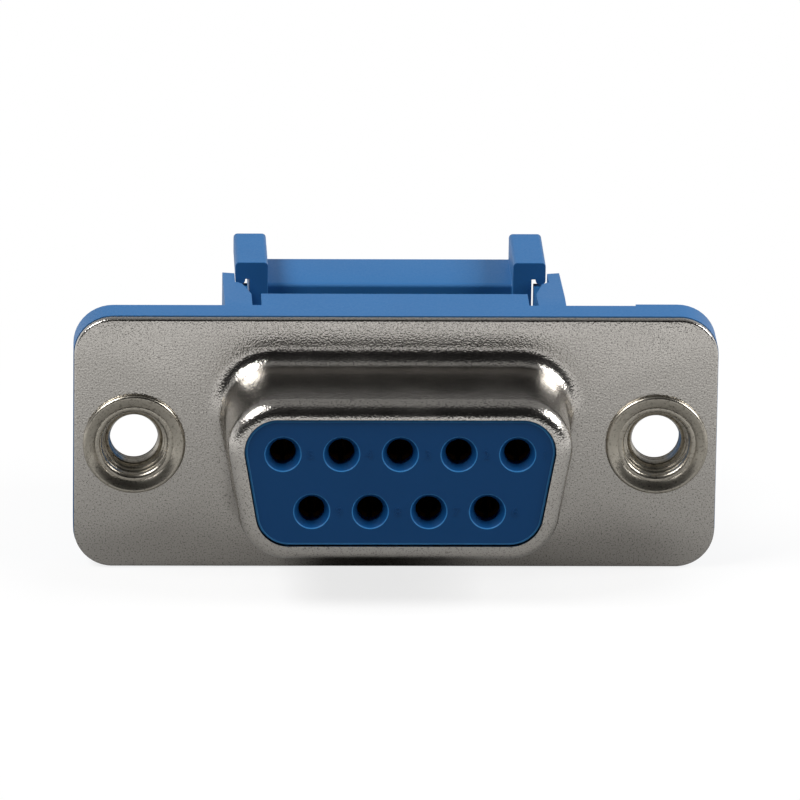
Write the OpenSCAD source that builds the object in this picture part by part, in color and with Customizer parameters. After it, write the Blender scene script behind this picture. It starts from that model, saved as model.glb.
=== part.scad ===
// Nine-way D-subminiature socket for flat ribbon cable, of the insulation-displacement kind.
// Millimetres. The origin is the centre of the metal flange's front face: +X is to the right seen
// from the mating side, +Y runs back towards the cable, +Z is up and the wide row is on top.
// The cover is drawn in its open stop, where a ribbon can still be laid in, and slides forward to
// press the ribbon onto the forks.

/* [Flange] */
// Width of the mounting flange
flange_w = 30.8; // [30:0.1:36]
// Height of the mounting flange
flange_h = 12.5; // [12.1:0.1:14]
// Corner radius of the flange
flange_r = 1.9; // [0.5:0.1:3]
// Thickness of the sheet that the metal shell is drawn from
sheet_t = 0.45; // [0.3:0.05:0.55]
// How far the sheet's edge stands back from the edge of the moulded flange
sheet_inset = 0.04; // [0:0.01:0.3]
// Thickness of the moulded flange behind the sheet
moulded_t = 1.7; // [1.4:0.05:2.4]
// Extra thickness of the moulded flange at its right-hand end
pad_t = 0.23; // [0.1:0.01:0.5]
// Width of that thicker end
pad_w = 3.9; // [3:0.1:4.5]

/* [Hood] */
// Width of the D-shaped hood outside, at its wide side
hood_w = 16.33; // [16:0.01:17.4]
// Height of the hood outside
hood_h = 7.9; // [7.6:0.01:8.6]
// How far the hood stands forward of the flange
hood_reach = 6.1; // [5.4:0.1:7.5]
// Slant of the hood's two sides in degrees
hood_slant = 10; // [7:0.5:12]
// Outside radius of the hood's four corners
hood_r = 2.4; // [2.2:0.05:2.8]
// Radius of the bend from flange to hood, on the outside
root_r = 0.9; // [0.6:0.05:1.1]
// Radius of the front edge, which is rolled in over the insulator
lip_r = 0.8; // [0.65:0.05:0.95]

/* [Mating face] */
// Distance between contacts in a row
contact_pitch = 2.77; // [2.6:0.01:2.8]
// Distance between the two rows
row_gap = 2.84; // [2.5:0.01:3]
// Bore of a contact entry, through the front wall
entry_d = 1.24; // [1.1:0.02:1.4]
// Diameter of the entry's countersunk mouth
mouth_d = 1.7; // [1.5:0.05:2]
// Depth of that countersink
mouth_depth = 0.45; // [0.2:0.05:0.7]
// Thickness of the insulator's front wall, behind the mating face
front_wall = 1; // [0.8:0.05:1.5]
// How far the mating face is set back from the front of the hood
face_inset = 0.1; // [0:0.05:0.4]
// Width of the shadow gap between the mating face and the hood's lip
lip_gap = 0.08; // [0.05:0.01:0.15]
// Bevel round the mating face
face_bevel = 0.12; // [0.05:0.01:0.25]

/* [Contacts] */
// Outside diameter of a contact's socket
socket_d = 1.6; // [1.45:0.01:1.7]
// Bore of the socket, which grips a 1.02 mm pin
socket_bore = 1.04; // [1.02:0.01:1.15]
// Width of the two slits that make the socket springy
slit_w = 0.24; // [0.15:0.01:0.4]
// Thickness of a contact's blade and fork
blade_t = 0.3; // [0.2:0.05:0.4]
// Width of the blade and fork
blade_w = 1.14; // [1:0.02:1.2]
// Width of the fork's cutting slot
cut_w = 0.26; // [0.2:0.01:0.35]
// Depth of the fork's cutting slot
cut_depth = 1.5; // [1:0.05:1.7]

/* [Ribbon cable] */
// Distance between the cores of the ribbon
core_pitch = 1.27; // [1.25:0.01:1.3]
// Thickness of the ribbon over its insulation
ribbon_t = 0.9; // [0.8:0.01:1.1]
// Depth of the half-round seats that hold the cores on each side
seat_depth = 0.15; // [0.05:0.01:0.25]

/* [Screw eyelets] */
// Distance from each end of the flange to its screw hole
hole_inset = 2.905; // [2.85:0.005:3.1]
// Outside diameter of the eyelet's front rim
rim_d = 4.9; // [4.4:0.05:4.95]
// Height of the rim above the flange
rim_h = 0.28; // [0.2:0.01:0.4]
// Width of the raised lip round the rim
rim_lip = 0.2; // [0.12:0.01:0.3]
// Outside diameter of the eyelet's tube
tube_d = 3.7; // [3.5:0.05:3.8]
// Bore of the eyelet's neck, where the jackscrew bites
neck_d = 2.3; // [2.2:0.01:2.4]
// Length of the neck
neck_len = 0.6; // [0.4:0.05:0.8]
// Diameter of the turned-over rear end
clinch_d = 4.5; // [4.2:0.05:4.8]
// Thickness of the turned-over rear end
clinch_t = 0.3; // [0.2:0.02:0.4]

/* [Rear body] */
// Height of the core block that carries the forks
core_h = 9.9; // [9.4:0.1:10.3]
// How far the full-height plate stands back from the moulded flange
plate_reach = 1.85; // [1:0.05:3]
// Width of the slot between the plate and each guide ear
ear_slot = 0.45; // [0.3:0.05:0.6]
// How far the step in each ear, the cover's closed stop, stands back from the moulded flange
step_reach = 4.85; // [4.6:0.05:5.2]
// How far the ear's outer wall reaches past that step
ear_over = 1.9; // [1.5:0.05:2]
// Thickness of the ear's outer wall
ear_wall = 0.59; // [0.4:0.01:0.8]
// Fall of the ear's sloping top and bottom, in degrees
ear_fall = 6.1; // [3:0.1:8]
// Length of the flat root of the ear, along its outside
ear_root = 1.28; // [0.8:0.01:1.6]
// How much of that root is lost towards the inside
ear_root_skew = 1.1; // [0.6:0.01:1.2]
// Width of the lead-in taper inside the ear
ear_lead = 0.4; // [0.2:0.02:0.5]
// How far the guide rail inside the ear reaches past the ear's outer wall
rail_over = 0.7; // [0.4:0.05:0.9]

/* [Cover] */
// How far the cover slides from its open stop to its closed stop
cover_travel = 2; // [1.8:0.05:2.2]
// Depth of the cover's two end walls, along the slide
end_depth = 4.84; // [4.5:0.02:5.5]
// How far the pressing bar is set back from the front of the end walls
bar_setback = 1.03; // [0.9:0.01:1.2]
// Thickness of an end wall
end_t = 0.9; // [0.8:0.05:1.1]
// How far the cover's four heads reach out over the ears
head_lap = 0.68; // [0.5:0.02:0.8]
// Height of a head beside the end wall
head_h = 0.85; // [0.6:0.05:1.1]
// How far the lip on a head's outer edge hangs below the head
head_lip = 0.25; // [0.1:0.01:0.3]
// Width of the undercut between that lip and the end wall
head_undercut = 0.2; // [0.15:0.01:0.25]
// Thickness of the two latch legs
leg_t = 0.6; // [0.5:0.05:0.7]
// Width of the latch legs
leg_w = 8; // [6:0.1:8.4]
// How far the hook on a leg stands out
hook_out = 0.5; // [0.35:0.05:0.6]
// Length of the hook along the leg
hook_len = 0.8; // [0.6:0.05:1]
// Length of the slope along the bar's front top and bottom edges
brow_len = 1.3; // [0.8:0.05:1.6]
// Fall of that slope
brow_drop = 0.09; // [0.05:0.01:0.2]
// Height of the plain bands above and below the bar's seats, which grip the ribbon
brow_h = 1; // [0.5:0.05:1.5]
// Play between each side of the ribbon and the end walls
ribbon_play = 0.235; // [0.15:0.005:0.4]
// Rounding of the cover's outer edges
cover_round = 0.2; // [0.1:0.02:0.3]

/* [Clearances] */
// Gap between pieces that are fixed together
fit_gap = 0.05; // [0.03:0.01:0.08]
// Gap beside pieces that slide
run_gap = 0.1; // [0.08:0.01:0.15]
// Closer gap between a head's outer side and the ear wall that keeps the cover straight
guide_gap = 0.05; // [0.04:0.01:0.1]

/* [Hidden] */
$fn = 48;
eps = 0.01;
far = 50;
wide_count = 5;
contact_count = 9;

// Corner centres of the D, anticlockwise from the upper right. Every outline that nests in the hood
// shares them and differs in its corner radius alone.
d_z = hood_h / 2 - hood_r;
d_top_x = hood_w / 2 - hood_r;
d_foot_x = d_top_x - 2 * d_z * tan(hood_slant);
d_centres = [[d_top_x, d_z], [-d_top_x, d_z], [-d_foot_x, -d_z], [d_foot_x, -d_z]];
// Outward direction of the side that follows each corner
d_normals = [90, 180 + hood_slant, 270, 360 - hood_slant];

// Stations along Y, from the flange's front face back
moulded_back = sheet_t + moulded_t;
pad_back = moulded_back + pad_t;
plate_back = moulded_back + plate_reach;
ear_step = moulded_back + step_reach;
ear_back = ear_step + ear_over;
cover_front = ear_step + run_gap + cover_travel;
cover_back = cover_front + end_depth;
bar_front = cover_front + bar_setback;
core_back = bar_front - cover_travel - ribbon_t + 2 * seat_depth;
fork_tip = bar_front - ribbon_t - run_gap;
leg_floor = 0.25;
leg_front = moulded_back + leg_floor + cover_travel;
jog_front = sheet_t + 0.15;
jog_back = moulded_back - 0.1;
lead_front = moulded_back + 2.45;

// Half the distance between the two screw holes
hole_x = flange_w / 2 - hole_inset;

// Half widths along X, from the ribbon out
bar_x = contact_count * core_pitch / 2 + ribbon_play;
end_x = bar_x + end_t;
head_x = end_x + head_lap;
ear_in = end_x;
ear_recess = head_x + guide_gap;
ear_out = ear_recess + ear_wall;
plate_x = ear_in - ear_slot;
leg_out = ear_in - 2 * run_gap;
leg_in = leg_out - leg_t;
core_x = leg_in - run_gap - fit_gap;
hook_x = leg_out + hook_out;

// Height of the mating face above the flange's front face, and of the sockets' front ends
face = hood_reach - face_inset;
socket_front = face - front_wall - run_gap;
socket_back = -sheet_t + run_gap;

// Contact i counts from 1 at the right of the wide row. Its core in the ribbon alternates between
// the rows, so the blade steps sideways from the contact's place to the core's.
function contact_x(i) =
    i <= wide_count
        ? ((wide_count + 1) / 2 - i) * contact_pitch
        : (wide_count + contact_count + 1 - 2 * i) / 2 * contact_pitch;
function contact_z(i) = (i <= wide_count ? 1 : -1) * row_gap / 2;
function core_rank(i) = i <= wide_count ? 2 * i - 1 : 2 * (i - wide_count);
function core_place(rank) = ((contact_count + 1) / 2 - rank) * core_pitch;
function core_x(i) = core_place(core_rank(i));

function polar(r, a) = [r * cos(a), r * sin(a)];
function arc(centre, r, from, to, steps = 6) =
    [for (k = [0:steps]) centre + polar(r, from + (to - from) * k / steps)];

// Turns a shape so that its height runs forward, from the flange towards the plug.
module forward() rotate([90, 0, 0]) children();

// A slab between two stations along Y, with its outline in X and Z.
module slab(front, back) translate([0, back, 0]) forward() linear_extrude(back - front) children();

// A box between two corners.
module block(from, to) translate(from) cube(to - from);

module both_sides() {
    children();
    mirror([1, 0, 0]) children();
}

module rounded_rect(w, h, r) {
    square([w - 2 * r, h], center = true);
    square([w, h - 2 * r], center = true);
    for (x = [-1, 1], y = [-1, 1]) translate([x * (w / 2 - r), y * (h / 2 - r)]) circle(r = r);
}

module d_outline(r) {
    polygon([for (i = [0:3]) for (n = [d_normals[(i + 3) % 4], d_normals[i]]) d_centres[i] + polar(r, n)]);
    for (c = d_centres) translate(c) circle(r = r);
}

// Stations along the line round the D, each a corner centre with an outward direction.
corner_steps = 8;
stations = [
    for (i = [0:3])
        let (from = d_normals[(i + 3) % 4] - (i == 0 ? 360 : 0))
        for (k = [0:corner_steps]) [d_centres[i], from + (d_normals[i] - from) * k / corner_steps]
];

// Carries a closed section round the D: its x is the distance out from the line through the corner
// centres, and its y is the height forward of the flange.
module ring_round_d(section) {
    n = len(section);
    count = len(stations);
    polyhedron(
        [for (s = stations, p = section) concat(s[0] + polar(p.x, s[1]), p.y)],
        [for (s = [0:count - 1], k = [0:n - 1])
            let (next = (s + 1) % count, up = (k + 1) % n)
            [s * n + k, s * n + up, next * n + up, next * n + k]]);
}

// A solid D whose outline follows a profile of the same kind, from its lowest point to its highest.
module solid_round_d(profile) {
    count = len(stations);
    top = len(profile) - 1;
    polyhedron(
        [for (p = profile, s = stations) concat(s[0] + polar(p.x, s[1]), p.y)],
        concat(
            [[for (s = [0:count - 1]) s]],
            [for (k = [0:top - 1], s = [0:count - 1])
                let (low = k * count, high = low + count, next = (s + 1) % count)
                [low + s, high + s, high + next, low + next]],
            [[for (s = [count - 1:-1:0]) top * count + s]]
        ));
}

// Section of the hood's drawn wall: a strip of the flange, the bend out of it, the wall and the
// rolled lip, and back down the inside.
hood_foot = hood_r + root_r;
foot_lap = 0.3;
hood_wall =
    let (root = [hood_foot, root_r], lip = [hood_r - lip_r, hood_reach - lip_r])
    concat(
        [[hood_foot + foot_lap, -sheet_t], [hood_foot + foot_lap, 0]],
        arc(root, root_r, 270, 180, 4),
        arc(lip, lip_r, 0, 90, 5),
        arc(lip, lip_r - sheet_t, 90, 0, 3),
        arc(root, root_r + sheet_t, 180, 270, 4));

module shell() color("#b4b0a8") forward() {
    translate([0, 0, -sheet_t]) linear_extrude(sheet_t) difference() {
        rounded_rect(flange_w - 2 * sheet_inset, flange_h - 2 * sheet_inset, flange_r - sheet_inset);
        d_outline(hood_foot + foot_lap / 2);
        for (x = [-1, 1]) translate([x * hole_x, 0]) circle(d = tube_d + 2 * fit_gap);
    }
    ring_round_d(hood_wall);
}

// How far the front insulator's collar stands out from its body
collar_out = 0.35;

// Profile of the front insulator: a collar trapped behind the hood's bend, the body that fills the
// hood and the nose that shows inside the lip.
function insulator_profile() =
    let (body = hood_r - sheet_t - fit_gap, nose = hood_r - lip_r - lip_gap,
         shoulder = hood_reach - lip_r - run_gap)
    [
        [body + collar_out, -sheet_t], [body + collar_out, -fit_gap], [body, collar_out - fit_gap],
        [body, shoulder], [nose, shoulder + body - nose],
        [nose, face - face_bevel], [nose - face_bevel, face]
    ];

module entry() {
    translate([0, 0, face - mouth_depth]) cylinder(h = mouth_depth + eps, d1 = entry_d, d2 = mouth_d + eps);
    translate([0, 0, face - front_wall - eps]) cylinder(h = front_wall, d = entry_d);
    translate([0, 0, -sheet_t - eps])
        cylinder(h = face - front_wall + sheet_t + eps, d = socket_d + 2 * run_gap);
}

module front_insulator() color("#2a5fa6") forward() difference() {
    solid_round_d(insulator_profile());
    for (i = [1:contact_count]) translate([contact_x(i), contact_z(i), 0]) entry();
}

// Outline of a contact's flat part, grown by a gap for the slot that it lies in. The jog between the
// contact's place and the core's lies inside the moulded flange.
module blade_outline(i, gap, front, back) {
    half = blade_w / 2 + gap;
    a = contact_x(i);
    b = core_x(i);
    polygon([
        [a - half, front], [a - half, jog_front], [b - half, jog_back], [b - half, back],
        [b + half, back], [b + half, jog_back], [a + half, jog_front], [a + half, front]
    ]);
}

// The cut between a fork's two prongs, which flares at the tips to lead a core in.
module fork_cut(i) {
    flare = cut_w + 0.09;
    translate([core_x(i), fork_tip - cut_depth]) {
        translate([-cut_w / 2, 0]) square([cut_w, cut_depth + eps]);
        polygon([[-cut_w / 2, cut_depth - flare], [cut_w / 2, cut_depth - flare],
            [cut_w / 2 + flare / 2, cut_depth + eps], [-cut_w / 2 - flare / 2, cut_depth + eps]]);
    }
}

// A contact's socket: a bored barrel with a lead-in, slit in two above its solid root.
module socket() {
    root = 0.9;
    lead = 0.25;
    tip_wall = 0.1;
    difference() {
        translate([0, 0, socket_back]) cylinder(h = socket_front - socket_back, d = socket_d);
        translate([0, 0, root]) cylinder(h = far, d = socket_bore);
        translate([0, 0, socket_front - lead])
            cylinder(h = lead + eps, d1 = socket_bore, d2 = socket_d - 2 * tip_wall);
        translate([-slit_w / 2, -socket_d, root]) cube([slit_w, 2 * socket_d, far]);
    }
}

module contact(i) color("#d6ac4e") {
    blade_root = 0.8;
    translate([contact_x(i), 0, contact_z(i)]) forward() socket();
    translate([0, 0, contact_z(i) - blade_t / 2]) linear_extrude(blade_t) difference() {
        blade_outline(i, 0, -socket_back - blade_root, fork_tip);
        fork_cut(i);
    }
}

module contact_slot(i)
    translate([0, 0, contact_z(i) - blade_t / 2 - fit_gap]) linear_extrude(blade_t + 2 * fit_gap)
        blade_outline(i, fit_gap, sheet_t - 1, core_back + 1);

// Half-round seats for the ribbon's cores, along Z at a station on Y.
module core_seats(station, depth, height) {
    r = core_pitch / 2 - fit_gap;
    for (rank = [1:contact_count])
        translate([core_place(rank), station + r - depth, -height / 2]) cylinder(h = height, r = r);
}

// Plan of a guide ear: the inner wall with its lead-in, the step that stops the cover, and the
// outer wall that reaches past it.
module ear_plan() {
    chamfer = ear_recess - ear_in - ear_lead - fit_gap;
    polygon([
        [ear_in, sheet_t], [ear_in, lead_front], [ear_in + ear_lead, ear_step - chamfer],
        [ear_in + ear_lead + chamfer, ear_step], [ear_recess, ear_step], [ear_recess, ear_back],
        [ear_out, ear_back], [ear_out, sheet_t]
    ]);
}

// What is cut off above an ear: a plane that starts at a slanting line on its root and falls away
// towards the back and the inside.
module ear_slope() {
    skew = atan(ear_root_skew / (ear_out - ear_in));
    translate([ear_out, moulded_back + ear_root, flange_h / 2]) rotate([0, 0, skew])
        rotate([-ear_fall, 0, 0]) translate([-far / 2, -ear_root, 0]) cube([far, far, far]);
}

// The pocket that a latch leg's hook runs in. Its back wall keeps the cover from coming off.
module hook_pocket() {
    half = leg_w / 2 + run_gap;
    block([ear_in - 1, moulded_back, -half], [hook_x + run_gap, leg_front + hook_len + run_gap, half]);
}

// The rail inside an ear, between the cover's upper and lower heads, that guides its end wall.
module guide_rail() {
    half = flange_h / 2 - head_h - head_lip - run_gap;
    block([end_x + run_gap, sheet_t, -half], [ear_recess + eps, ear_back + rail_over, half]);
}

// One of the two ears that guide the cover.
module ear() difference() {
    union() {
        translate([0, 0, -flange_h / 2]) linear_extrude(flange_h) ear_plan();
        guide_rail();
    }
    ear_slope();
    mirror([0, 0, 1]) ear_slope();
    hook_pocket();
}

module moulded_flange() {
    slab(sheet_t, moulded_back) rounded_rect(flange_w, flange_h, flange_r);
    slab(sheet_t, pad_back) intersection() {
        rounded_rect(flange_w, flange_h, flange_r);
        translate([flange_w / 2 - pad_w, -flange_h]) square([pad_w, 2 * flange_h]);
    }
}

module rear_body() color("#3f78bd") difference() {
    union() {
        moulded_flange();
        slab(sheet_t, plate_back) square([2 * plate_x, flange_h], center = true);
        slab(sheet_t, core_back) square([2 * core_x, core_h], center = true);
        both_sides() ear();
    }
    // Channels for the latch legs, between the core and the ears
    both_sides()
        block([core_x, moulded_back, -core_h / 2], [ear_in, far, core_h / 2]);
    for (x = [-1, 1]) translate([x * hole_x, 0, 0])
        slab(sheet_t - 1, pad_back + 1) circle(d = tube_d + 2 * fit_gap);
    for (i = [1:contact_count]) contact_slot(i);
    core_seats(core_back, seat_depth, far);
}

// Section of a screw eyelet, out from its axis and forward of the flange, clinched behind a seat:
// a rim with a rounded lip, a flat land, a bend into the throat, and a neck that tapers in below it.
module eyelet_section(seat) {
    rim = rim_d / 2;
    tube = tube_d / 2;
    neck = neck_d / 2;
    throat = tube - 0.3;
    lip = rim_lip / 2;
    groove = 0.04;
    land = rim_h - 2 * groove;
    neck_front = -0.9;
    bevel = 0.12;
    polygon(concat(
        [[throat, -seat - clinch_t], [clinch_d / 2, -seat - clinch_t], [clinch_d / 2, -seat]],
        [[tube, -seat], [tube, 0], [rim, 0]],
        arc([rim - lip, rim_h - lip], lip, 0, 180),
        arc([rim - rim_lip - 2 * groove, land + groove], groove, 0, -90, 2),
        arc([tube, 0], land, 90, 150, 4),
        [[throat, -bevel], [neck + 1.5 * bevel, neck_front + bevel], [neck, neck_front]],
        [[neck, neck_front - neck_len], [throat, neck_front - neck_len - 2 * bevel]]
    ));
}

module eyelet(x, seat) color("#8f8b82")
    translate([x, 0, 0]) forward() rotate_extrude() eyelet_section(seat);

// Outline of the cover's end wall and its two heads, at one end, in X and Z.
module end_outline() {
    w = end_t + head_lap;
    lip_w = head_lap - head_undercut;
    lip_h = head_h + head_lip;
    translate([bar_x + end_t / 2, 0]) square([end_t, flange_h - 2 * cover_round], center = true);
    for (s = [-1, 1]) {
        translate([bar_x + w / 2, s * (flange_h - head_h) / 2]) rounded_rect(w, head_h, cover_round);
        translate([head_x - lip_w / 2, s * (flange_h - lip_h) / 2])
            rounded_rect(lip_w, lip_h, min(cover_round, lip_w / 2.5));
    }
}

// The cover's pressing bar between its end walls. Its top and bottom slope down to rounded front
// edges.
module bar() translate([-bar_x - eps, 0, 0]) rotate([90, 0, 90]) linear_extrude(2 * (bar_x + eps)) {
    r = cover_round;
    brow = core_h / 2 - brow_drop;
    polygon([
        [cover_back, -core_h / 2], [cover_back, core_h / 2], [bar_front + brow_len, core_h / 2],
        [bar_front + r, brow], [bar_front, brow - r], [bar_front, r - brow],
        [bar_front + r, -brow], [bar_front + brow_len, -core_h / 2]
    ]);
    for (s = [-1, 1]) translate([bar_front + r, s * (brow - r)]) circle(r = r);
}

// One of the two springy legs that hold the cover to the body, with its hook.
module leg() translate([0, 0, -leg_w / 2]) linear_extrude(leg_w) polygon([
    [leg_in, leg_front], [leg_out, leg_front], [hook_x, leg_front + hook_len * 0.6],
    [hook_x, leg_front + hook_len], [leg_out, leg_front + hook_len],
    [leg_out, cover_front + eps], [leg_in, cover_front + eps]
]);

// Slots in the bar that the forks enter as the cover closes.
module fork_slots() {
    half_w = blade_w / 2 + run_gap;
    half_t = blade_t / 2 + run_gap;
    depth = fork_tip + cover_travel - bar_front + 2 * run_gap;
    for (i = [1:contact_count]) translate([core_x(i), 0, contact_z(i)])
        block([-half_w, bar_front - 1, -half_t], [half_w, bar_front + depth, half_t]);
}

module cover() color("#4a80c2") difference() {
    union() {
        bar();
        both_sides() {
            slab(cover_front, cover_back) end_outline();
            leg();
        }
    }
    fork_slots();
    core_seats(bar_front + 2 * seat_depth - core_pitch + 2 * fit_gap, seat_depth, core_h - 2 * brow_h);
}

shell();
front_insulator();
rear_body();
eyelet(-hole_x, moulded_back);  // eyelet_left
eyelet(hole_x, pad_back);  // eyelet_right
cover();
for (i = [1:contact_count]) contact(i);
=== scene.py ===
"""Nine-way D-subminiature ribbon socket: the dressed model over the CAD frame.

Pieces are modelled in millimetres, as at the bench, and settle() brings each one to metres.
Heights run forward from the flange's front face towards the plug, which is along -Y.
"""

import math

import bmesh
import bpy
from mathutils import Matrix, Vector


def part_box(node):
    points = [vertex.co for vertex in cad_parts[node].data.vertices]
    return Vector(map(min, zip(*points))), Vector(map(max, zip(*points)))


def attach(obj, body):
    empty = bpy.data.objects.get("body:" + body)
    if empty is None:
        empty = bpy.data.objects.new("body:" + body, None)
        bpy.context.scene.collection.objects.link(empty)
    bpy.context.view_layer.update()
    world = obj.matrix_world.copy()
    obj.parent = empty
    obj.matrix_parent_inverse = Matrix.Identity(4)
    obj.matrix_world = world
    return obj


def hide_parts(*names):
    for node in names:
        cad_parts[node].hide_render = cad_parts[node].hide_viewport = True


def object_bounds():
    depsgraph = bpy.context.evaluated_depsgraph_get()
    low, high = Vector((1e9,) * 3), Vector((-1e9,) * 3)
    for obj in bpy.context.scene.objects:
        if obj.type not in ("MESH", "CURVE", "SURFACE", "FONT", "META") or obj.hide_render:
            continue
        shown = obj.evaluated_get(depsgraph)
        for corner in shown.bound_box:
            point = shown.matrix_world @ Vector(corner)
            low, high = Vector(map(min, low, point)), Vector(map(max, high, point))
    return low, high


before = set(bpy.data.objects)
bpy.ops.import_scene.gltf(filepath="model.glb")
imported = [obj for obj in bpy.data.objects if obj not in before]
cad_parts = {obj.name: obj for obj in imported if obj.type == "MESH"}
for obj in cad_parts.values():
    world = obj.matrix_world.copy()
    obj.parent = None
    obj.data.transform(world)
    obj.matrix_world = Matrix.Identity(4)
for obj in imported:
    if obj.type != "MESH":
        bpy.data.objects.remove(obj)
cad_box = [list(corner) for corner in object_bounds()]
bpy.ops.object.select_all(action="DESELECT")

MM = 0.001

# ---------------------------------------------------------------- sizes, in millimetres


def box_mm(node):
    """Lowest and highest corner of a CAD node, in millimetres."""
    return [[value / MM for value in corner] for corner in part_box(node)]


SHEET = box_mm("shell")
FACE = box_mm("front_insulator")
EYELETS = {side: box_mm("eyelet_" + side) for side in ("left", "right")}

sheet_t = 0.45
hood_reach = -SHEET[0][1]
hood_wide, hood_high = 16.33, 7.9
hood_r, root_r, lip_r = 2.4, 0.9, 0.8
hood_slant = math.radians(10)

# Corner centres of the D, shared by every outline that nests in the hood, each with the first and
# last direction of its arc in degrees
d_up = hood_high / 2 - hood_r
d_wide = hood_wide / 2 - hood_r
d_foot = d_wide - 2 * d_up * math.tan(hood_slant)
D_CORNERS = [
    (d_wide, d_up, -10, 90),
    (-d_wide, d_up, 90, 190),
    (-d_foot, -d_up, 190, 270),
    (d_foot, -d_up, 270, 350),
]

# ---------------------------------------------------------------- bench tools


def begin(name):
    """Puts an empty piece on the bench and opens it for editing."""
    bpy.ops.object.add(type="MESH", location=(0, 0, 0))
    piece = bpy.context.object
    piece.name = piece.data.name = name
    bpy.ops.object.mode_set(mode="EDIT")
    return piece


def pick(test, kind="VERT"):
    """Selects only the vertices, edges or faces of the open piece that pass a test."""
    bpy.ops.mesh.select_mode(type=kind)
    bpy.ops.mesh.select_all(action="DESELECT")
    mesh = bmesh.from_edit_mesh(bpy.context.edit_object.data)
    for part in {"VERT": mesh.verts, "EDGE": mesh.edges, "FACE": mesh.faces}[kind]:
        if test(part):
            part.select_set(True)
    mesh.select_flush_mode()
    bmesh.update_edit_mesh(bpy.context.edit_object.data)


def pick_verts(indices):
    """Selects vertices by their numbers, with the faces that they span."""
    wanted = set(indices)
    pick(lambda vert: vert.index in wanted)
    bmesh.from_edit_mesh(bpy.context.edit_object.data).select_flush(True)


def outline(radius, corners, height, steps=144):
    """Lays a round plate facing forward and pulls its arcs out to the corner centres."""
    bpy.ops.mesh.select_mode(type="VERT")
    bpy.ops.mesh.primitive_circle_add(
        vertices=steps,
        radius=radius,
        fill_type="NGON",
        location=(0, -height, 0),
        rotation=(math.pi / 2, math.pi / steps, 0),
    )
    mesh = bmesh.from_edit_mesh(bpy.context.edit_object.data)
    mesh.verts.index_update()
    bearing = {v.index: math.degrees(math.atan2(v.co.z, v.co.x)) for v in mesh.verts if v.select}
    for x, z, first, last in corners:
        pick_verts(i for i, angle in bearing.items() if first < angle < last or first < angle + 360 < last)
        bpy.ops.transform.translate(value=(x, 0, z))
    pick_verts(bearing)
    bpy.ops.mesh.select_mode(type="FACE")


def follow(profile):
    """Takes the selected plate along a profile of (radius, height), leaving walls behind it."""
    for (radius, height), (next_radius, next_height) in zip(profile, profile[1:]):
        inward, forward = radius - next_radius, next_height - height
        if abs(inward) < 1e-6:
            bpy.ops.mesh.extrude_region_move(TRANSFORM_OT_translate={"value": (0, -forward, 0)})
        else:
            bpy.ops.mesh.inset(thickness=inward, depth=forward)


def drop_plate():
    """Removes the selected plate and leaves its rim open."""
    bpy.ops.mesh.delete(type="ONLY_FACE")


def arc(radius, height, bend, first, last, steps):
    """Points of a bend about a centre, from one direction to another in degrees."""
    turns = [math.radians(first + (last - first) * k / steps) for k in range(steps + 1)]
    return [(radius + bend * math.cos(t), height + bend * math.sin(t)) for t in turns]


def turned(x, z, profile, sides=96):
    """Turns a profile of (radius, height) about an axis along Y."""
    radius, height = profile[0]
    bpy.ops.mesh.select_mode(type="VERT")
    bpy.ops.mesh.primitive_circle_add(
        vertices=sides, radius=radius, location=(x, -height, z), rotation=(math.pi / 2, 0, 0)
    )
    for next_radius, next_height in profile[1:]:
        bpy.ops.mesh.extrude_region_move(
            TRANSFORM_OT_translate={"value": (0, height - next_height, 0)}
        )
        scale = next_radius / radius
        bpy.ops.transform.resize(value=(scale, 1, scale), center_override=(x, 0, z))
        radius, height = next_radius, next_height


def close_up():
    """Merges what coincides, fills open ends and turns all faces outwards."""
    bpy.ops.mesh.select_mode(type="VERT")
    bpy.ops.mesh.select_all(action="SELECT")
    bpy.ops.mesh.remove_doubles(threshold=0.0005)
    bpy.ops.mesh.fill_holes(sides=0)
    bpy.ops.mesh.normals_make_consistent(inside=False)


def apply_modifier(piece, kind, **settings):
    """Adds a modifier with its settings and applies it."""
    modifier = piece.modifiers.new(kind.title(), kind)
    for name, value in settings.items():
        setattr(modifier, name, value)
    bpy.context.view_layer.objects.active = piece
    bpy.ops.object.modifier_apply(modifier=modifier.name)


def cut_away(piece, cutter):
    """Cuts a closed cutter out of a closed piece and puts the cutter away."""
    apply_modifier(piece, "BOOLEAN", operation="DIFFERENCE", object=cutter, solver="EXACT")
    bpy.data.objects.remove(cutter)


def settle(piece, body, finish, smooth=32, scale=MM):
    """Ends the editing of a piece, brings it to metres and gives it its body and finish."""
    if bpy.context.mode != "OBJECT":
        bpy.ops.object.mode_set(mode="OBJECT")
    bpy.ops.object.select_all(action="DESELECT")
    piece.select_set(True)
    bpy.context.view_layer.objects.active = piece
    piece.scale = (scale, scale, scale)
    bpy.ops.object.transform_apply(location=True, rotation=True, scale=True)
    bpy.ops.object.shade_smooth_by_angle(angle=math.radians(smooth))
    piece.data.materials.clear()
    piece.data.materials.append(finish)
    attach(piece, body)
    bpy.ops.object.select_all(action="DESELECT")


def softened(node, name, radius):
    """A copy of a CAD solid with its outer edges rounded, still in metres."""
    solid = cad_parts[node]
    piece = bpy.data.objects.new(name, solid.data.copy())
    bpy.context.scene.collection.objects.link(piece)
    piece.data.name = name
    bpy.ops.object.select_all(action="DESELECT")
    piece.select_set(True)
    bpy.context.view_layer.objects.active = piece
    bpy.ops.object.mode_set(mode="EDIT")
    bpy.ops.mesh.select_all(action="SELECT")
    bpy.ops.mesh.remove_doubles(threshold=0.0002 * MM)
    bpy.ops.mesh.dissolve_limited(angle_limit=math.radians(0.5))
    bpy.ops.object.mode_set(mode="OBJECT")
    apply_modifier(
        piece, "BEVEL", width=radius * MM, segments=2, limit_method="ANGLE",
        angle_limit=math.radians(50), use_clamp_overlap=True, miter_outer="MITER_ARC",
    )
    return piece


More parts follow.
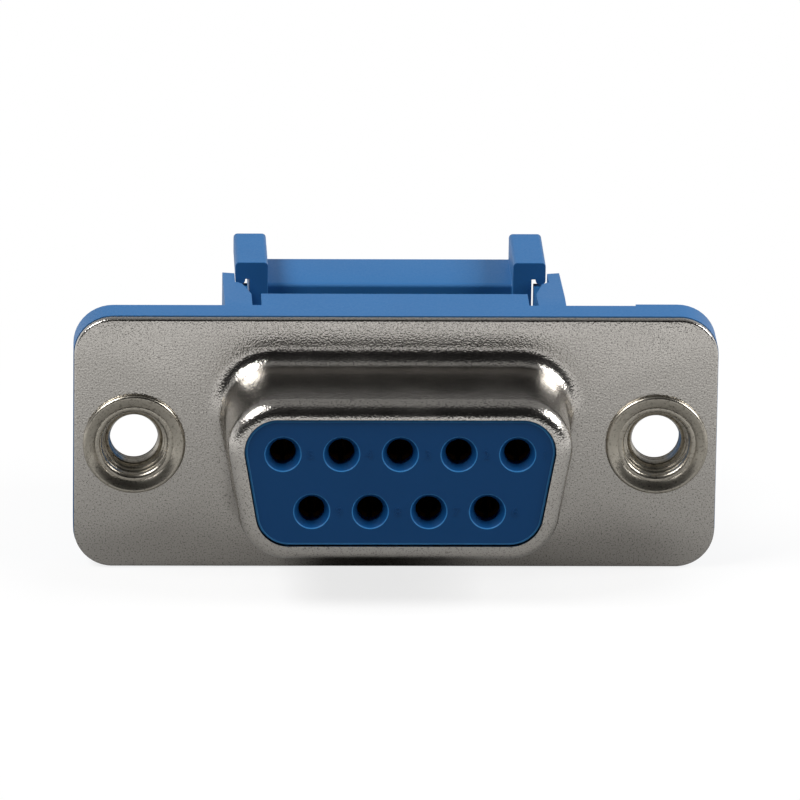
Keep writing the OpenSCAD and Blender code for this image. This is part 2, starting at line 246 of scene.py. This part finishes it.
# ---------------------------------------------------------------- finishes


def linear(hex_colour):
    """An sRGB hex colour as the linear one that a shader takes."""
    parts = [int(hex_colour[i : i + 2], 16) / 255 for i in (1, 3, 5)]
    return (*(c / 12.92 if c <= 0.04045 else ((c + 0.055) / 1.055) ** 2.4 for c in parts), 1)


def add_node(tree, kind, inputs=None, **settings):
    """Adds a node; each input is a value or another node's output."""
    node = tree.nodes.new(kind)
    for name, value in settings.items():
        setattr(node, name, value)
    for key, value in (inputs or {}).items():
        if isinstance(value, bpy.types.NodeSocket):
            tree.links.new(value, node.inputs[key])
        else:
            node.inputs[key].default_value = value
    return node


def blank_finish(name):
    """A material with nothing in it but its output."""
    material = bpy.data.materials.new(name)
    material.use_nodes = True
    material.node_tree.nodes.clear()
    return material, material.node_tree, material.node_tree.nodes.new("ShaderNodeOutputMaterial")


def grain(size_mm):
    """Noise scale that gives features of a size in millimetres, on coordinates in metres."""
    return 1 / (size_mm * MM)


# Width of the relief against the pits, of the clouds in a plate, and of flow and texture in a
# moulding, the last three in millimetres
RELIEF_SIZE = 1.3
CLOUD_MM, FLOW_MM, TEXTURE_MM = 2.5, 3, 0.1


def plated_metal(name, light, dark, roughness, pit_mm, depth_mm):
    """Plate over metal: finely pitted and uneven in tone, so that it spreads its highlights.

    The pits show as darker specks, and as relief that is drawn a little coarser than they are.
    """
    material, tree, output = blank_finish(name)
    where = add_node(tree, "ShaderNodeTexCoord").outputs["Object"]
    pits = add_node(
        tree, "ShaderNodeTexNoise",
        {"Vector": where, "Scale": grain(pit_mm), "Detail": 3.0, "Roughness": 0.6},
    ).outputs["Fac"]
    relief = add_node(
        tree, "ShaderNodeTexNoise",
        {"Vector": where, "Scale": grain(RELIEF_SIZE * pit_mm), "Detail": 1.0},
    ).outputs["Fac"]
    clouds = add_node(
        tree, "ShaderNodeTexNoise", {"Vector": where, "Scale": grain(CLOUD_MM), "Detail": 2.0}
    ).outputs["Fac"]
    shade = add_node(
        tree, "ShaderNodeMapRange",
        {"Value": pits, "From Min": 0.34, "From Max": 0.47, "To Min": 0.0, "To Max": 1.0},
    ).outputs["Result"]
    colour = add_node(
        tree, "ShaderNodeMix", {"Factor": shade, "A": linear(dark), "B": linear(light)},
        data_type="RGBA",
    ).outputs["Result"]
    rough = add_node(
        tree, "ShaderNodeMapRange",
        {"Value": clouds, "From Min": 0.3, "From Max": 0.7, "To Min": roughness - 0.03,
         "To Max": roughness + 0.03},
    ).outputs["Result"]
    bump = add_node(
        tree, "ShaderNodeBump", {"Height": relief, "Strength": 1.0, "Distance": depth_mm * MM}
    ).outputs["Normal"]
    surface = add_node(
        tree, "ShaderNodeBsdfPrincipled",
        {"Base Color": colour, "Metallic": 1.0, "Roughness": rough, "Normal": bump},
    )
    tree.links.new(surface.outputs["BSDF"], output.inputs["Surface"])
    return material


def moulded_plastic(name, light, dark, roughness, gloss):
    """Glass-filled polyester as moulded: saturated and satin, a little uneven in tone."""
    material, tree, output = blank_finish(name)
    where = add_node(tree, "ShaderNodeTexCoord").outputs["Object"]
    flow = add_node(
        tree, "ShaderNodeTexNoise", {"Vector": where, "Scale": grain(FLOW_MM), "Detail": 3.0}
    ).outputs["Fac"]
    texture = add_node(
        tree, "ShaderNodeTexNoise", {"Vector": where, "Scale": grain(TEXTURE_MM), "Detail": 2.0}
    ).outputs["Fac"]
    colour = add_node(
        tree, "ShaderNodeMix", {"Factor": flow, "A": linear(dark), "B": linear(light)},
        data_type="RGBA",
    ).outputs["Result"]
    rough = add_node(
        tree, "ShaderNodeMapRange",
        {"Value": texture, "From Min": 0.3, "From Max": 0.7, "To Min": roughness - 0.05,
         "To Max": roughness + 0.05},
    ).outputs["Result"]
    bump = add_node(
        tree, "ShaderNodeBump", {"Height": texture, "Strength": 0.25, "Distance": 0.006 * MM}
    ).outputs["Normal"]
    surface = add_node(
        tree, "ShaderNodeBsdfPrincipled",
        {"Base Color": colour, "Roughness": rough, "Specular IOR Level": gloss, "Normal": bump},
    )
    tree.links.new(surface.outputs["BSDF"], output.inputs["Surface"])
    return material


# Drawn shell: satin grey tin whose pits, under a tenth of a millimetre across, break up reflections
tin_plated_shell = plated_metal(
    "tin_plated_drawn_steel", "#c8c4be", "#86827d", roughness=0.2, pit_mm=0.075, depth_mm=0.015
)
# Turned eyelets: the same plate over machined steel, its pits wider and shallower, slightly warmer
tin_plated_eyelet = plated_metal(
    "tin_plated_turned_steel", "#b9b3a7", "#8f897e", roughness=0.28, pit_mm=0.12, depth_mm=0.006
)
# Contacts: a thin gold flash over copper alloy, dull, and drawn darker than new gold as painted shade for
# contacts that sit deep in their bores
contact_gold_painted_shade = plated_metal(
    "copper_alloy_gold_plate_painted_shade", "#6b5226", "#503d1c", roughness=0.4, pit_mm=0.15, depth_mm=0.004
)
# Rear mouldings: glass-filled polyester, a saturated blue with a satin skin
blue_polyester = moulded_plastic(
    "blue_glass_filled_polyester", "#2668a1", "#21629a", roughness=0.52, gloss=0.58
)
# Insulator in the hood: the same resin with a weaker sheen, drawn deeper in tone as painted shade for the
# face set back in the hood
painted_shade_blue_polyester = moulded_plastic(
    "painted_shade_blue_polyester", "#134e87", "#114a80", roughness=0.4, gloss=0.2
)
# Edges of the insulator drawn paler than the resin: a painted highlight where bevels and brims catch the
# light
edge_highlight_polyester = moulded_plastic(
    "blue_polyester_painted_edge_highlight", "#3f8cc9", "#2775b9", roughness=0.5, gloss=0.3
)

# ---------------------------------------------------------------- camera, floor and light

place = Vector((-17.580, -451.391, 147.593)) * MM
aim = Vector((0.207, 0.640, 1.982)) * MM
roll = math.radians(0.790)

bpy.ops.object.camera_add(location=place)
camera = bpy.context.object
camera.name = "bench_camera"
back = (place - aim).normalized()
right = Vector((0, 0, 1)).cross(back).normalized()
up = back.cross(right)
across = right * math.cos(roll) + up * math.sin(roll)
above = up * math.cos(roll) - right * math.sin(roll)
camera.matrix_world = Matrix.Translation(place) @ Matrix((across, above, back)).transposed().to_4x4()
camera.data.sensor_width = 36
camera.data.lens = 447.43
camera.data.clip_start, camera.data.clip_end = 0.01, 10
bpy.context.scene.camera = camera


def looked_at(tree):
    """Whether a ray comes from the camera, and whether it shows the backdrop in any way."""
    path = add_node(tree, "ShaderNodeLightPath").outputs
    mirrored = add_node(
        tree, "ShaderNodeMath", {0: path["Is Glossy Ray"], 1: path["Is Transmission Ray"]},
        operation="MAXIMUM",
    ).outputs["Value"]
    seen = add_node(
        tree, "ShaderNodeMath", {0: path["Is Camera Ray"], 1: mirrored}, operation="MAXIMUM"
    ).outputs["Value"]
    return path["Is Camera Ray"], seen


# White card: it glows white where it is looked at or mirrored, and takes the connector's shadow
# close by. In the plating that shadow is deeper and reaches further, and the card is greyer.
MIRRORED_REACH, SEEN_REACH = 0.09, 0.09 / 2.1
MIRRORED_DEPTH, SEEN_DEPTH = 1.0, 0.22
white_card, tree, output = blank_finish("white_card")
camera_ray, seen = looked_at(tree)
where = add_node(tree, "ShaderNodeTexCoord").outputs["Object"]
distance = add_node(
    tree, "ShaderNodeVectorMath", {0: where}, operation="LENGTH"
).outputs["Value"]
reach = add_node(
    tree, "ShaderNodeMix", {"Factor": camera_ray, "A": MIRRORED_REACH, "B": SEEN_REACH}
).outputs["Result"]
depth = add_node(
    tree, "ShaderNodeMix", {"Factor": camera_ray, "A": MIRRORED_DEPTH, "B": SEEN_DEPTH}
).outputs["Result"]
near = add_node(
    tree, "ShaderNodeMapRange",
    {"Value": distance, "From Max": reach, "To Min": 1.0, "To Max": 0.0},
    interpolation_type="SMOOTHSTEP",
).outputs["Result"]
shadow = add_node(
    tree, "ShaderNodeMath", {0: near, 1: depth}, operation="MULTIPLY"
).outputs["Value"]
glow_share = add_node(
    tree, "ShaderNodeMath", {0: 1.0, 1: shadow}, operation="SUBTRACT"
).outputs["Value"]
glow_share = add_node(
    tree, "ShaderNodeMath", {0: seen, 1: glow_share}, operation="MULTIPLY"
).outputs["Value"]
card_tone = add_node(
    tree, "ShaderNodeMix",
    {"Factor": camera_ray, "A": linear("#929291"), "B": linear("#f7f7f7")}, data_type="RGBA",
).outputs["Result"]
paper = add_node(tree, "ShaderNodeBsdfDiffuse", {"Color": card_tone})
glow = add_node(tree, "ShaderNodeEmission", {"Strength": 1.0})
card = add_node(
    tree, "ShaderNodeMixShader", {0: glow_share, 1: paper.outputs[0], 2: glow.outputs[0]}
)
tree.links.new(card.outputs[0], output.inputs["Surface"])

bpy.ops.mesh.primitive_plane_add(size=4, location=(0, 0, cad_box[0][2]))
floor = bpy.context.object
floor.name = "pale_floor"
floor.data.materials.append(white_card)

# The room: white to the camera. To the connector it is white at the horizon, with a dim ceiling,
# and dark behind the camera's place. Each pair of bounds is a rise or a run of a unit direction.
CEILING, DARK_FRONT = 0.3, 0.03
WALL_FOOT, WALL_TOP = 0.05, 0.55
FRONT, SIDE = -0.4, 0.0
world = bpy.data.worlds.new("studio")
bpy.context.scene.world = world
world.use_nodes = True
tree = world.node_tree
tree.nodes.clear()
camera_ray, seen = looked_at(tree)
towards = add_node(tree, "ShaderNodeTexCoord").outputs["Generated"]
axes = add_node(tree, "ShaderNodeSeparateXYZ", {0: towards}).outputs
walls = add_node(
    tree, "ShaderNodeMapRange",
    {"Value": axes["Z"], "From Min": WALL_FOOT, "From Max": WALL_TOP, "To Min": 1.0,
     "To Max": CEILING},
    interpolation_type="SMOOTHSTEP",
).outputs["Result"]
front = add_node(
    tree, "ShaderNodeMapRange",
    {"Value": axes["Y"], "From Min": FRONT, "From Max": SIDE, "To Min": DARK_FRONT, "To Max": 1.0},
    interpolation_type="SMOOTHSTEP",
).outputs["Result"]
room = add_node(
    tree, "ShaderNodeMix", {"Factor": seen, "A": CEILING, "B": walls}
).outputs["Result"]
room = add_node(tree, "ShaderNodeMath", {0: room, 1: front}, operation="MULTIPLY").outputs["Value"]
strength = add_node(
    tree, "ShaderNodeMix", {"Factor": camera_ray, "A": room, "B": 1.0}
).outputs["Result"]
backdrop = add_node(tree, "ShaderNodeBackground", {"Strength": strength})
add_node(tree, "ShaderNodeOutputWorld", {"Surface": backdrop.outputs[0]})


def softbox(name, bearing, rise, wide, high, level, distance=0.5):
    """A rectangular lamp that faces the connector, as bright as white card times a level.

    Its bearing from the front, its rise and its width and height are in degrees.
    """
    turn, lift = math.radians(bearing), math.radians(rise)
    towards = Vector((math.sin(turn) * math.cos(lift), -math.cos(turn) * math.cos(lift), math.sin(lift)))
    bpy.ops.object.light_add(type="AREA", location=towards * distance)
    lamp = bpy.context.object
    lamp.name = name
    lamp.data.shape = "RECTANGLE"
    width, height = (2 * distance * math.tan(math.radians(angle) / 2) for angle in (wide, high))
    lamp.data.size, lamp.data.size_y = width, height
    lamp.data.energy = level * math.pi * width * height
    lamp.rotation_euler = towards.to_track_quat("Z", "Y").to_euler()
    lamp.visible_camera = False


softbox("left_softbox", bearing=-76, rise=50, wide=34, high=26, level=10.5)
softbox("right_softbox", bearing=83, rise=34, wide=34, high=25, level=10.5)

# ---------------------------------------------------------------- drawn shell

# The hood is drawn out of the flange in one wall: a bend out of the sheet, the straight wall and
# a lip rolled in over the insulator. Outside and inside are laid one after the other.
shell = begin("drawn_shell")
rim = 0.15
foot = hood_r + root_r
lip_height = hood_reach - lip_r
outside = [
    (foot + rim, 0),
    *arc(foot, root_r, root_r, 270, 180, 10),
    *arc(hood_r - lip_r, lip_height, lip_r, 0, 90, 12),
]
inside = [
    (foot + rim, -sheet_t),
    *arc(foot, root_r, root_r + sheet_t, 270, 180, 8),
    *arc(hood_r - lip_r, lip_height, lip_r - sheet_t, 0, 90, 6),
    (hood_r - lip_r, hood_reach),
]
for wall in (outside, inside):
    outline(wall[0][0], D_CORNERS, wall[0][1])
    follow(wall)
    drop_plate()

# The flange's edge, its front corner rounded by the blanking die
edge_r = 0.12
flange_r = 1.86
half_w, half_h = SHEET[1][0] - flange_r, SHEET[1][2] - flange_r
FLANGE_CORNERS = [
    (half_w, half_h, 0, 90),
    (-half_w, half_h, 90, 180),
    (-half_w, -half_h, 180, 270),
    (half_w, -half_h, 270, 360),
]
outline(flange_r, FLANGE_CORNERS, -sheet_t)
follow([(flange_r, -sheet_t), *arc(flange_r - edge_r, -edge_r, edge_r, 0, 90, 4)])
drop_plate()

# The flat of the sheet, front and back, between the outlines laid above
for height in (0, -sheet_t):
    pick(
        lambda edge: edge.is_boundary and all(abs(v.co.y + height) < 1e-4 for v in edge.verts),
        "EDGE",
    )
    bpy.ops.mesh.fill(use_beauty=True)
close_up()
bpy.ops.object.mode_set(mode="OBJECT")

# Two holes for the screw eyelets, punched through the sheet
hole_r = 1.9
hole_x = {side: (box[0][0] + box[1][0]) / 2 for side, box in EYELETS.items()}
punch = begin("hole_punch")
for x in hole_x.values():
    turned(x, 0, [(hole_r, -2 * sheet_t), (hole_r, sheet_t)])
close_up()
bpy.ops.object.mode_set(mode="OBJECT")
cut_away(shell, punch)
settle(shell, "base", tin_plated_shell)
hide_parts("shell")

# ---------------------------------------------------------------- screw eyelets

# One turned piece each: a rounded rim, a land dished towards the throat, a bend and two steps down
# the throat, and a neck whose thread shows as rings; the tube is turned over behind the moulding.
clinch, clinch_r = 0.15, 2.1
tube_r, throat_r = 1.85, 1.55
rim_r, rim_bend, foot_bend = 2.45, 0.14, 0.1
crest_r, groove = 1.15, 0.09
neck_front, neck_back = -0.92, -1.5
ring_step, crest_flat = 0.635 / 2, 0.05
for side, box in EYELETS.items():
    seat = box[1][1] - 2 * clinch
    x = hole_x[side]
    eyelet = begin("turned_eyelet_" + side)
    profile = [
        # The rear end, turned over, and the tube forward to the flange
        (throat_r, -seat - 2 * clinch),
        *arc(clinch_r, -seat - clinch, clinch, 270, 450, 6),
        (tube_r, -seat),
        (tube_r, 0.0),
        # The rim, the land and the bend into the throat
        (2.41, 0.0),
        *arc(rim_r - foot_bend, foot_bend, foot_bend, -60, 0, 3),
        *arc(rim_r - rim_bend, rim_bend, rim_bend, 0, 90, 8),
        (2.27, 0.27),
        (1.96, 0.17),
        *arc(1.78, -0.11, 0.22, 68, 160, 8),
        # Two steps down the throat to the neck
        (throat_r, -0.28),
        (1.47, -0.32),
        (1.45, -0.52),
        (1.38, -0.56),
        (1.36, -0.72),
        *arc(1.22, -0.84, 0.1, 30, 90, 3),
    ]
    # Thread in the neck: rings at half the pitch of a 4-40 screw, with shallow grooves between
    height = neck_front
    while height > neck_back:
        profile += [
            (crest_r, height),
            (crest_r, height - crest_flat),
            (crest_r + groove, height - ring_step / 2),
        ]
        height -= ring_step
    profile += [(crest_r, neck_back), (throat_r, -1.74), (throat_r, -seat - 2 * clinch)]
    turned(x, 0, profile)
    close_up()
    settle(eyelet, "base", tin_plated_eyelet, smooth=40)
    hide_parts("eyelet_" + side)

# ---------------------------------------------------------------- insulator in the hood

insulator = begin("front_insulator_moulding")
face_height = -FACE[0][1]
body_r = hood_r - sheet_t - 0.05
nose_r = hood_r - lip_r - 0.04
shoulder = hood_reach - lip_r - 0.1
bevel = 0.12
flare, flare_height = 0.35, 0.3
skin = [
    (body_r + flare, -sheet_t),
    (body_r + flare, flare_height - flare),
    (body_r, flare_height),
    (body_r, shoulder),
    (nose_r, shoulder + body_r - nose_r),
    (nose_r, face_height - bevel),
    *arc(nose_r - bevel, face_height - bevel, bevel, 22.5, 90, 3),
]
outline(skin[0][0], D_CORNERS, skin[0][1])
follow(skin)
close_up()
bpy.ops.object.mode_set(mode="OBJECT")

# Nine entries, each with a rounded brim, a countersink and a bore, over a wider seat for a socket
contact_pitch, row_offset = 2.77, 1.42
bore_r, mouth_r, seat_r = 0.62, 0.85, 0.9
front_wall, mouth_depth, brim = 1.0, 0.45, 0.015
ENTRIES = [((2 - i) * contact_pitch, row_offset) for i in range(5)]
ENTRIES += [((1.5 - i) * contact_pitch, -row_offset) for i in range(4)]
entry_cutter = begin("entry_cutter")
for x, z in ENTRIES:
    turned(
        x, z,
        [
            (seat_r, -sheet_t - 0.2),
            (seat_r, face_height - front_wall),
            (bore_r, face_height - front_wall),
            (bore_r, face_height - mouth_depth),
            (mouth_r - 0.02, face_height - 0.04),
            (mouth_r, face_height - brim),
            (mouth_r + 2 * brim, face_height),
            (mouth_r + 0.08, face_height + 0.1),
        ],
        sides=64,
    )
close_up()
bpy.ops.object.mode_set(mode="OBJECT")
cut_away(insulator, entry_cutter)
# The insulator takes the resin drawn deeper as painted shade
settle(insulator, "base", painted_shade_blue_polyester, smooth=10)

# The brims of the entries and the bevel round the face are drawn paler, as a painted highlight
insulator.data.materials.append(edge_highlight_polyester)
# Faces this close to the front that are not flat take the painted highlight
highlight_depth = 0.09
for face in insulator.data.polygons:
    height = -face.center.y / MM
    flat = abs(face.normal.y) > 0.99
    if height > face_height - highlight_depth and not flat:
        face.material_index = 1
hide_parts("front_insulator")

# Position numbers, raised a hair on the face beside each entry
number_size, number_gap, number_drop, number_height = 0.62, 1.3, 0.22, 0.02
digits = []
for number, (x, z) in enumerate(ENTRIES, start=1):
    corner = (x + number_gap, -face_height, z - number_drop)
    bpy.ops.object.text_add(location=corner, rotation=(math.pi / 2, 0, 0))
    digit = bpy.context.object
    digit.data.body = str(number)
    digit.data.size = number_size
    digit.data.align_x = "CENTER"
    digit.data.extrude = number_height
    bpy.ops.object.convert(target="MESH")
    digits.append(bpy.context.object)
bpy.ops.object.select_all(action="DESELECT")
for digit in digits:
    digit.select_set(True)
bpy.context.view_layer.objects.active = digits[0]
bpy.ops.object.transform_apply(location=True, rotation=True, scale=True)
bpy.ops.object.join()
numbers = bpy.context.object
numbers.name = numbers.data.name = "position_numbers"
# The numbers take the same painted shade as the face
settle(numbers, "base", painted_shade_blue_polyester)

# ---------------------------------------------------------------- rear mouldings

# Both come from the CAD solids, with the small rounding that a mould leaves along their edges
edge_rounding = 0.05
MOULDINGS = (("rear_body", "base", "body_plastic"), ("cover", "cover", "cover_plastic"))
for node, body, slot in MOULDINGS:
    moulding = softened(node, node + "_moulding", edge_rounding)
    settle(moulding, body, blue_polyester, smooth=12, scale=1)
    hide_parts(node)

# ---------------------------------------------------------------- contacts

# The contacts take the gold drawn dark with painted shade
for i in range(1, 10):
    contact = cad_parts[f"contact_{i}"]
    contact.data.materials.clear()
    contact.data.materials.append(contact_gold_painted_shade)

# ---------------------------------------------------------------- settings and finish

bpy.context.scene.view_settings.view_transform = "Standard"
